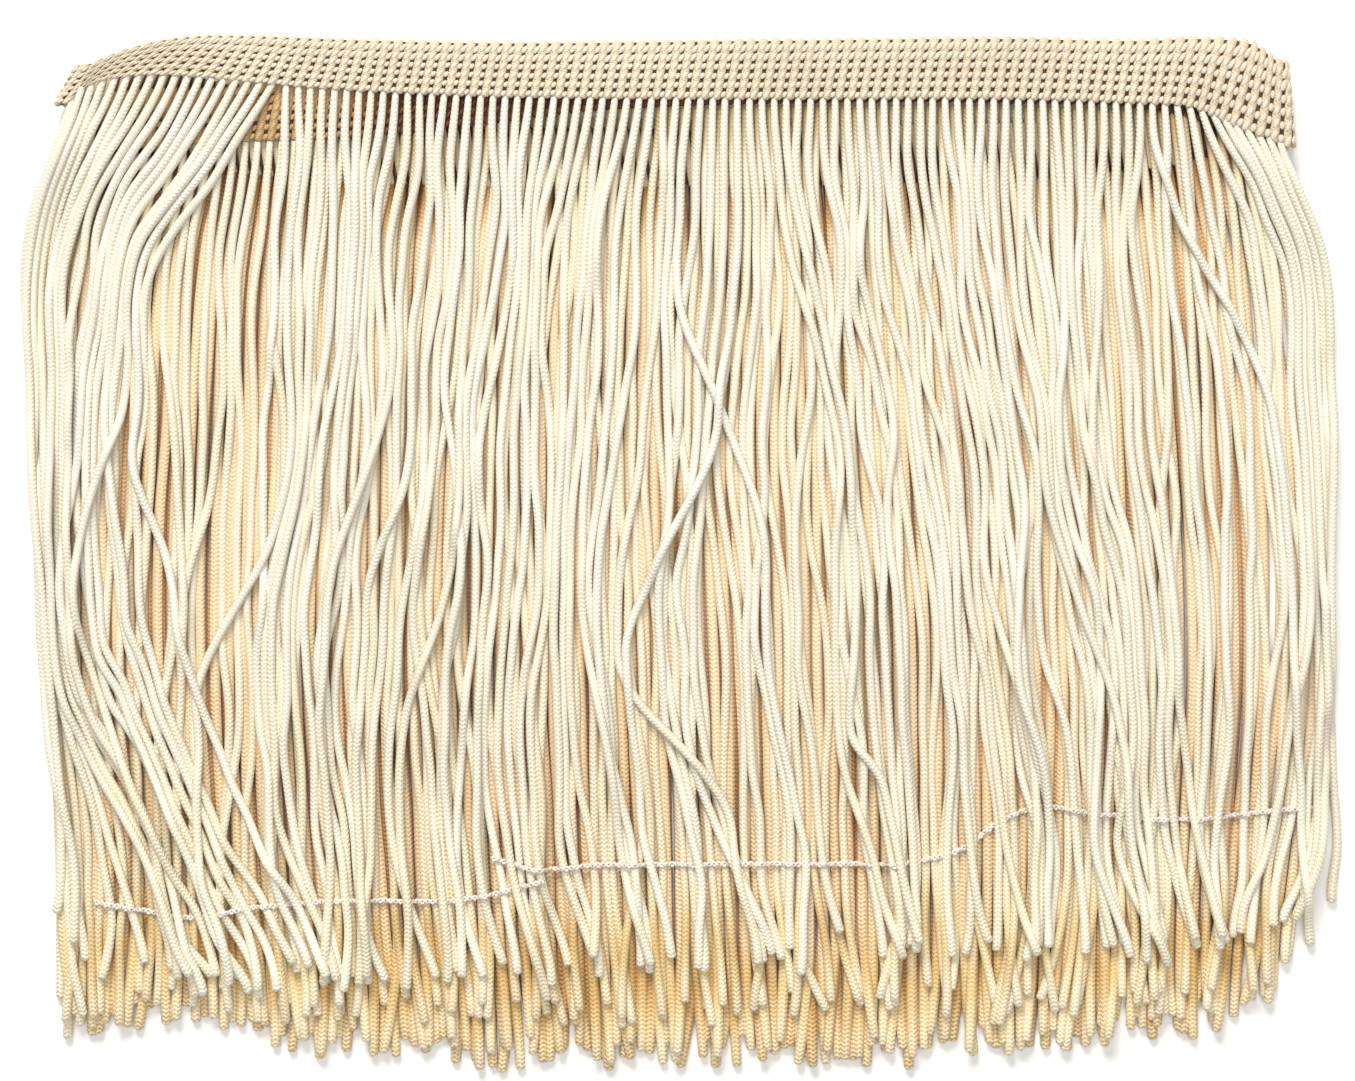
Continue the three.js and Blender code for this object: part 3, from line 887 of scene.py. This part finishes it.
def lay_tape(surface, tape, level):
    """Adds a run of the heading to the surface, at places closer than its cells."""
    low = line_through(tape[:, 0:2], TAPE_SAMPLES[0])
    high = line_through(tape[:, 2:4], TAPE_SAMPLES[0])
    across = np.linspace(0, 1, TAPE_SAMPLES[1])[:, None, None]
    cells = cells_at((low + (high - low) * across).reshape(-1, 2))
    surface[cells] = np.maximum(surface[cells], level * RUN_RISE + TAPE_THICKNESS)


def laid_points(path, height, samples):
    """Points of a laid yarn at these samples of its path."""
    return points_between(np.column_stack([path, height]), np.arange(PATH_SAMPLES), samples)


def square_to(course):
    """The unit vectors square to a yarn's course, one level and one upwards."""
    course = unit(course)
    side = unit(np.cross(course, (0.0, 0.0, 1.0)))
    return side, np.cross(side, course)


def cord_rings(paths, heights, steps, sides, press, rng):
    """The rings of laid cords with plain cut tips: press is how wide and high they are, to round."""
    shares = np.concatenate([np.linspace(0, 1, steps - 1)[:-1], [TIP_RIM, 1.0]])
    samples = shares * (PATH_SAMPLES - 1)
    centres = np.array([laid_points(path, height, samples) for path, height in zip(paths, heights)])
    course = np.gradient(centres, axis=1)
    course[:, -1] = course[:, -2] = course[:, -3]
    side, up = square_to(course)
    radius = np.full(steps, CORD_RADIUS)
    radius[:len(ROOT_TAPER)] *= ROOT_TAPER
    radius *= 1 + (TIP_FLARE - 1) * np.clip(1 - (1 - shares) / TIP_FLARE_SHARE, 0, 1)
    radius[-1] *= TIP_FACE
    roll = rng.uniform(0, 2 * np.pi, len(centres))[:, None, None]
    twist = rng.normal(0, TWIST_SPREAD, len(centres))[:, None, None] * shares[:, None]
    turned = angles_round(sides) + roll + twist
    pressed = np.clip((1 - shares) / ROUND_TIP_SHARE, 0, 1)[:, None]
    wide, high = (1 + (share - 1) * pressed for share in press)
    rings = centres[:, :, None] + radius[:, None, None] * (
        (wide * np.cos(turned))[..., None] * side[:, :, None]
        + (high * np.sin(turned))[..., None] * up[:, :, None]
    )
    steps_long = np.linalg.norm(np.diff(centres, axis=1), axis=2)
    along = np.concatenate([np.zeros((len(centres), 1)), np.cumsum(steps_long, axis=1)], axis=1)
    return rings, along


class Run:
    """The courses of one run's cords, the order in which they are laid, with those that cross their
    neighbours last, and the height of their roots."""

    def __init__(
        self, tape, flow, level, seed, bunching, gap, crossing_share, splay, partings=(), strays=()
    ):
        rng = self.rng = np.random.default_rng(seed)
        self.level = level
        self.tape = tape
        root_x, root_y, levels, x, tip_y = cord_paths(tape, flow, rng, bunching, gap, partings)
        count = len(root_x)
        crossing = rng.random(count) < crossing_share
        shift = rng.uniform(*CROSSING_SHIFT, count) * rng.choice([-1, 1], count) * crossing
        shift[:KEPT_IN] = np.abs(shift[:KEPT_IN])
        shift[-KEPT_IN:] = -np.abs(shift[-KEPT_IN:])
        start = rng.uniform(*CROSSING_START, count)
        length = rng.uniform(*CROSSING_LENGTH, count)
        turn = crossing * CROSSING_TURN + rng.random(count)
        for stray_root, stray_start, stray_length, stray_shift in strays:
            nearest = np.argmin(np.abs(root_x - stray_root))
            start[nearest], length[nearest], shift[nearest] = stray_start, stray_length, stray_shift
            turn[nearest] = STRAY_TURN
        crossed = np.clip((start[:, None] - levels[None]) / length[:, None], 0, 1)
        x = x + shift[:, None] * eased(crossed)
        self.order = np.argsort(turn)
        self.paths = []
        for k in range(count):
            end = tip_y[k] + rng.normal(0, TIP_UNEVENNESS)
            aside = rng.normal(0, splay)
            between = levels[(levels < root_y[k] - ROOT_CLEAR) & (levels > end)]
            y = np.concatenate([[root_y[k] + ROOT_ABOVE_EDGE], between, [end]])
            course = np.interp(-y, -levels, x[k])
            course[0] = root_x[k]
            near_tip = np.clip((end + SPLAY_LENGTH - y) / SPLAY_LENGTH, 0, 1)
            course = course + aside * near_tip ** SPLAY_CURVE
            self.paths.append(even_path(np.column_stack([course, y]), CORD_SAMPLES))
        self.root_height = level * RUN_RISE + TAPE_THICKNESS / 2 - ROOT_SINK


def cord_shade(rings, along, covered, depth):
    """How deep each ring of a hidden run lies in shade: its roots, to this depth, beyond the x from
    which other yarn covers them, and its tips under the front's tips. Its outermost cords, which
    show at the sides of the winding, are paler."""
    root_x = rings[:, :1, 0, 0]
    under = np.clip((root_x - covered) / COVERED_FADE, 0, 1)
    roots = under * np.clip(1 - along / ROOT_SHADE_LENGTH, 0, 1) * depth
    from_middle = (along[:, -1:] - along - TIP_SHADE_ABOVE) / TIP_SHADE_REACH
    at_side = np.clip((np.abs(root_x) - SIDE_FROM) / SIDE_REACH, 0, 1)
    return roots + (TIP_SHADE * np.exp(-from_middle ** 2)) * (1 - at_side) - SIDE_PALER * at_side


# Silky polyester chainette: ivory, with a fine knitted V that runs along each cord and a soft
# sheen. The knitting is drawn a little coarser than real, so that it shows. Its creases are painted
# darker as shade, more so between these centimetres from the root, towards the tip.
STITCH_PITCH = 0.95
WALES = 4.0
CREASE_SHADE_GROWS = (10.0, 18.0)


def cord_material(name, light, dark, tip_light, tip_dark, tip_from, tip_to, crease_shade, tip_crease_shade):
    """Chainette yarn with these light and dark colours along the cord and at its tip, which blend
    between these centimetres from the root, and with this depth of painted shade in its creases
    along it and at its tip."""
    material = new_material(name)
    axes = yarn_axes(material)
    steps = [axes["X"]]
    for operation, value in (("MULTIPLY", WALES), ("PINGPONG", 0.5), ("MULTIPLY", 2 * math.pi)):
        steps.append(add_node(
            material, "ShaderNodeMath", [("operation", operation), (1, value)], [(0, steps[-1])]
        ).outputs[0])
    in_wale, slant = steps[2:]
    wave, height = slanted_rows(material, slant, axes["Y"], STITCH_PITCH)
    crease_shade_share = add_node(
        material, "ShaderNodeMapRange",
        [
            ("From Min", CREASE_SHADE_GROWS[0]), ("From Max", CREASE_SHADE_GROWS[1]),
            ("To Min", crease_shade), ("To Max", tip_crease_shade),
        ],
        [("Value", axes["Y"])],
    )
    deep = add_node(
        material, "ShaderNodeMapRange",
        [("From Min", -0.9), ("From Max", 0.25), ("To Max", 0.0)],
        [("Value", wave), ("To Min", crease_shade_share.outputs[0])],
    )
    from_leg = add_node(
        material, "ShaderNodeMath", [("operation", "SUBTRACT"), (1, 0.25)], [(0, in_wale)]
    )
    to_meeting = add_node(
        material, "ShaderNodeMath", [("operation", "ABSOLUTE")], [(0, from_leg.outputs[0])]
    )
    meeting = add_node(
        material, "ShaderNodeMapRange", [("From Max", 0.22), ("To Min", 0.25)],
        [("Value", to_meeting.outputs[0])],
    )
    # Painted shade in the creases between the knitted rows and wales.
    painted_crease_shade = add_node(
        material, "ShaderNodeMath", [("operation", "MULTIPLY")],
        [(0, deep.outputs[0]), (1, meeting.outputs[0])],
    )
    place = add_node(material, "ShaderNodeTexCoord")
    patches = add_node(
        material, "ShaderNodeTexNoise", [("Scale", 28.0), ("Detail", 2.0)],
        [("Vector", place.outputs["Object"])],
    )
    tone = add_node(material, "ShaderNodeAttribute", [("attribute_name", "tone")])
    mood = add_node(
        material, "ShaderNodeMath", [("operation", "MULTIPLY_ADD"), (1, 0.5)],
        [(0, tone.outputs["Fac"]), (2, patches.outputs["Fac"])],
    )
    upper, tip = (
        add_node(
            material, "ShaderNodeMix", [("data_type", "RGBA"), (6, linear(low)), (7, linear(high))],
            [(0, mood.outputs[0])],
        )
        for low, high in ((dark, light), (tip_dark, tip_light))
    )
    tip_share = add_node(
        material, "ShaderNodeMapRange", [("From Min", tip_from), ("From Max", tip_to)],
        [("Value", axes["Y"])],
    )
    base = add_node(
        material, "ShaderNodeMix", [("data_type", "RGBA")],
        [(0, tip_share.outputs[0]), (6, upper.outputs[2]), (7, tip.outputs[2])],
    )
    deepened = shaded(material, base.outputs[2], painted_crease_shade.outputs[0])
    return finish_yarn(material, deepened, height, 0.5, 0.2, 0.5, 0.25)


def finish_cords(name, node, run, heights, steps, sides, press, yarn, shade=None):
    """Makes the mesh of a run's cords and puts it in the place of its node."""
    rings, along = cord_rings(run.paths, heights, steps, sides, press, run.rng)
    tone = run.rng.random(len(rings))[:, None]
    if shade is not None:
        shade = cord_shade(rings, along, *shade)
    piece = mesh_of_rings(name, rings, along, shade, tone)
    piece.data.materials.append(yarn)
    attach(piece, "root")
    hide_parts(node)
    return piece


# Each run has its tape, flow, level, seed, bunching, gap, share of crossing cords and splay.
laid = np.zeros(SURFACE_CELLS)
back_run = Run(BACK_TAPE, BACK_FLOW, 0, 11, 0.12, CORD_GAP_WITHIN, 0.0, 1.3)
inner_back_run = Run(INNER_BACK_TAPE, INNER_BACK_FLOW, 1, 23, 0.18, CORD_GAP_WITHIN, 0.0, 1.5)
inner_front_run = Run(INNER_FRONT_TAPE, INNER_FRONT_FLOW, 2, 37, 0.7, CORD_GAP, 0.3, 2.4)
front_run = Run(FRONT_TAPE, FRONT_FLOW, 3, 53, 1.0, CORD_GAP, 0.4, 2.3, PARTINGS, STRAYS)

# The hidden runs are painted a warmer, deeper cream than the front as shade, the more so the lower
# a run lies, standing in for light that has passed between other cords and turned warm; their tips,
# which lie in the light, are painted paler. Shade is the x from which a run's roots are covered, and
# how deep their shade is.
slight_shade_yarn = cord_material(
    "chainette_polyester_slight_painted_shade",
    "#E9E2D0", "#E3D4B5", "#F4ECD8", "#E5D2AC", 15.5, 18.0, 0.13, 0.42,
)
warm_shade_yarn = cord_material(
    "chainette_polyester_warm_painted_shade",
    "#E7D3B4", "#DFC39B", "#F4EAD2", "#E4CEA2", 14.8, 17.6, 0.14, 0.45,
)
deep_shade_yarn = cord_material(
    "chainette_polyester_deep_painted_shade",
    "#D4AE82", "#C69C6A", "#EEDFC0", "#DCC392", 15.0, 18.0, 0.16, 0.48,
)
for place, run, steps, sides, press, yarn, shade in (
    ("back", back_run, 60, 6, FLAT, deep_shade_yarn, (-EDGE_X, 0.42)),
    ("inner_back", inner_back_run, 60, 6, PRESSED, warm_shade_yarn, (-EDGE_X, 0.42)),
    ("inner_front", inner_front_run, 64, 8, ROUND, slight_shade_yarn, (COVERED_FROM, 0.55)),
):
    heights = [None] * len(run.paths)
    for k in run.order:
        heights[k] = lay_on(laid, run.paths[k], run.root_height, CORD_RADIUS, CORD_TOUCH_WITHIN)
    lay_tape(laid, run.tape, run.level)
    finish_cords(
        f"cords_{place}", f"fringe_{place}", run, heights, steps, sides, press, yarn, shade
    )

# The front cords and the lock stitch
# The lock stitch is a chain of fine polyester thread that the maker runs across the cords a little
# above their tips, to keep them straight until the trim is sewn on. It lies over most of the front
# cords and under a few, so the two are laid together.
FRONT_STEPS = 84
FRONT_SIDES = 10
CHAIN_THREAD_RADIUS = 0.31
CHAIN_STITCH = 2.3
CHAIN_HALF_WIDTH = 0.42
CHAIN_RISE = 0.9
CHAIN_SIDES = 6
CHAIN_STEPS_A_STITCH = 8
CHAIN_DRAPE = 1.6
CHAIN_SAMPLES = 900

# Each length of the chain: the share of the front cords that lie under it, and its points.
CHAINS = [
    (0.6, [
        (-128.5, -76.5), (-119, -78), (-113.5, -79), (-107.5, -79.8), (-100, -78.7),
        (-94, -77.6), (-75.8, -76.1), (-52.4, -76.1), (-41, -74.5), (-30.5, -71.5),
    ]),
    (0.6, [(-42, -66.8), (-32, -69.2), (-19, -68.3), (-7.5, -68.3), (16, -68.1), (47, -68.3)]),
    (0.03, [(47, -68.3), (60, -65), (70, -58), (78, -55.5)]),
    (0.3, [(78, -55.5), (92, -57.5), (110, -58.5), (130, -56.4), (140, -56)]),
]


def chain_threads(points):
    """The two threads of a length of chain, laid on the cords below it."""
    path = even_path(np.array(points), CHAIN_SAMPLES)
    height = lay_on(laid, path, None, CHAIN_THREAD_RADIUS, CHAIN_THREAD_RADIUS, CHAIN_DRAPE)
    steps = round(distances_along(path)[-1] / CHAIN_STITCH) * CHAIN_STEPS_A_STITCH + 1
    centre = laid_points(path, height, np.linspace(0, PATH_SAMPLES - 1, steps))
    aside = np.cross((0.0, 0.0, 1.0), unit(np.gradient(centre, axis=0)))
    turns = 2 * np.pi * np.arange(steps) / CHAIN_STEPS_A_STITCH
    threads = []
    for phase in (0, np.pi):
        thread = centre + aside * (CHAIN_HALF_WIDTH * np.sin(turns + phase))[:, None]
        thread[:, 2] += CHAIN_THREAD_RADIUS * (1 + CHAIN_RISE * np.cos(turns * 2 + phase))
        threads.append(thread)
    return threads


heights = [None] * len(front_run.paths)
threads = []
due_chains = sorted(CHAINS, key=lambda chain: chain[0])
for done, k in enumerate(front_run.order):
    while due_chains and done >= due_chains[0][0] * len(heights):
        threads += chain_threads(due_chains.pop(0)[1])
    heights[k] = lay_on(laid, front_run.paths[k], front_run.root_height, CORD_RADIUS, CORD_TOUCH)

# The front cords see the light, so they show the yarn's own ivory.
ivory_yarn = cord_material(
    "chainette_polyester_ivory",
    "#E9E4D7", "#E4DAC4", "#F4F0E2", "#E8DCC0", 14.5, 17.0, 0.1, 0.4,
)
finish_cords(
    "cords_front", "fringe_front", front_run, heights, FRONT_STEPS, FRONT_SIDES, ROUND, ivory_yarn
)

chain_meshes = []
for number, line in enumerate(threads):
    side, up = square_to(np.gradient(line, axis=0))
    angles = angles_round(CHAIN_SIDES)
    rings = line[:, None] + CHAIN_THREAD_RADIUS * (
        np.cos(angles)[:, None] * side[:, None] + np.sin(angles)[:, None] * up[:, None]
    )
    along = np.arange(len(line)) * CHAIN_STITCH / CHAIN_STEPS_A_STITCH
    chain_meshes.append(mesh_of_rings(f"lock_stitch_{number}", rings[None], along[None]))
bpy.context.view_layer.objects.active = chain_meshes[0]
for chain in chain_meshes:
    chain.select_set(True)
bpy.ops.object.join()
lock_stitch = bpy.context.view_layer.objects.active
lock_stitch.name = "lock_stitch"
lock_stitch.select_set(False)

# The same polyester as the cords, spun finer, and a little rosier.
chain_thread = cord_material(
    "lock_stitch_polyester",
    "#EDE4DC", "#E8DDD2", "#EDE4DC", "#E8DDD2", 14.5, 17.5, 0.0, 0.0,
)
lock_stitch.data.materials.append(chain_thread)
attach(lock_stitch, "root")

# The floor and the light
# A plain floor of white laminate under the trim, hardly shiny, a soft lamp beyond its heading and a
# soft fill from above.
FLOOR_SIZE = 6.0
ROOM_LIGHT = 0.275
bpy.ops.mesh.primitive_plane_add(size=FLOOR_SIZE, location=(0, 0, 0))
floor = bpy.context.object
floor.name = "floor"
floor.select_set(False)
laminate = new_material("floor_white_laminate")
laminate_surface = add_node(
    laminate,
    "ShaderNodeBsdfPrincipled",
    [("Base Color", linear("#F7F6F4")), ("Roughness", 0.9)],
)
add_node(laminate, "ShaderNodeOutputMaterial", (), [("Surface", laminate_surface.outputs[0])])
floor.data.materials.append(laminate)

# Each lamp's name, place and width in metres, watts and colour.
LAMPS = (
    ("lamp_beyond_heading", (-0.25, 1.1, 0.95), 0.6, 22.3, "#FFFBF3"),
    ("lamp_above", (0.1, -0.1, 1.6), 1.2, 14.4, "#FFFFFF"),
)
for name, location, size, watts, colour in LAMPS:
    lamp_data = bpy.data.lights.new(name, "AREA")
    lamp_data.size = size
    lamp_data.energy = watts
    lamp_data.color = linear(colour)[:3]
    lamp = bpy.data.objects.new(name, lamp_data)
    lamp.location = location
    lamp.rotation_mode = "QUATERNION"
    lamp.rotation_quaternion = (-lamp.location).to_track_quat("-Z", "Y")
    bpy.context.collection.objects.link(lamp)

world = bpy.data.worlds.new("soft_room")
world.use_nodes = True
background = world.node_tree.nodes["Background"]
background.inputs["Color"].default_value = linear("#FFFFFF")
background.inputs["Strength"].default_value = ROOM_LIGHT
bpy.context.scene.world = world
bpy.context.scene.view_settings.view_transform = "Standard"
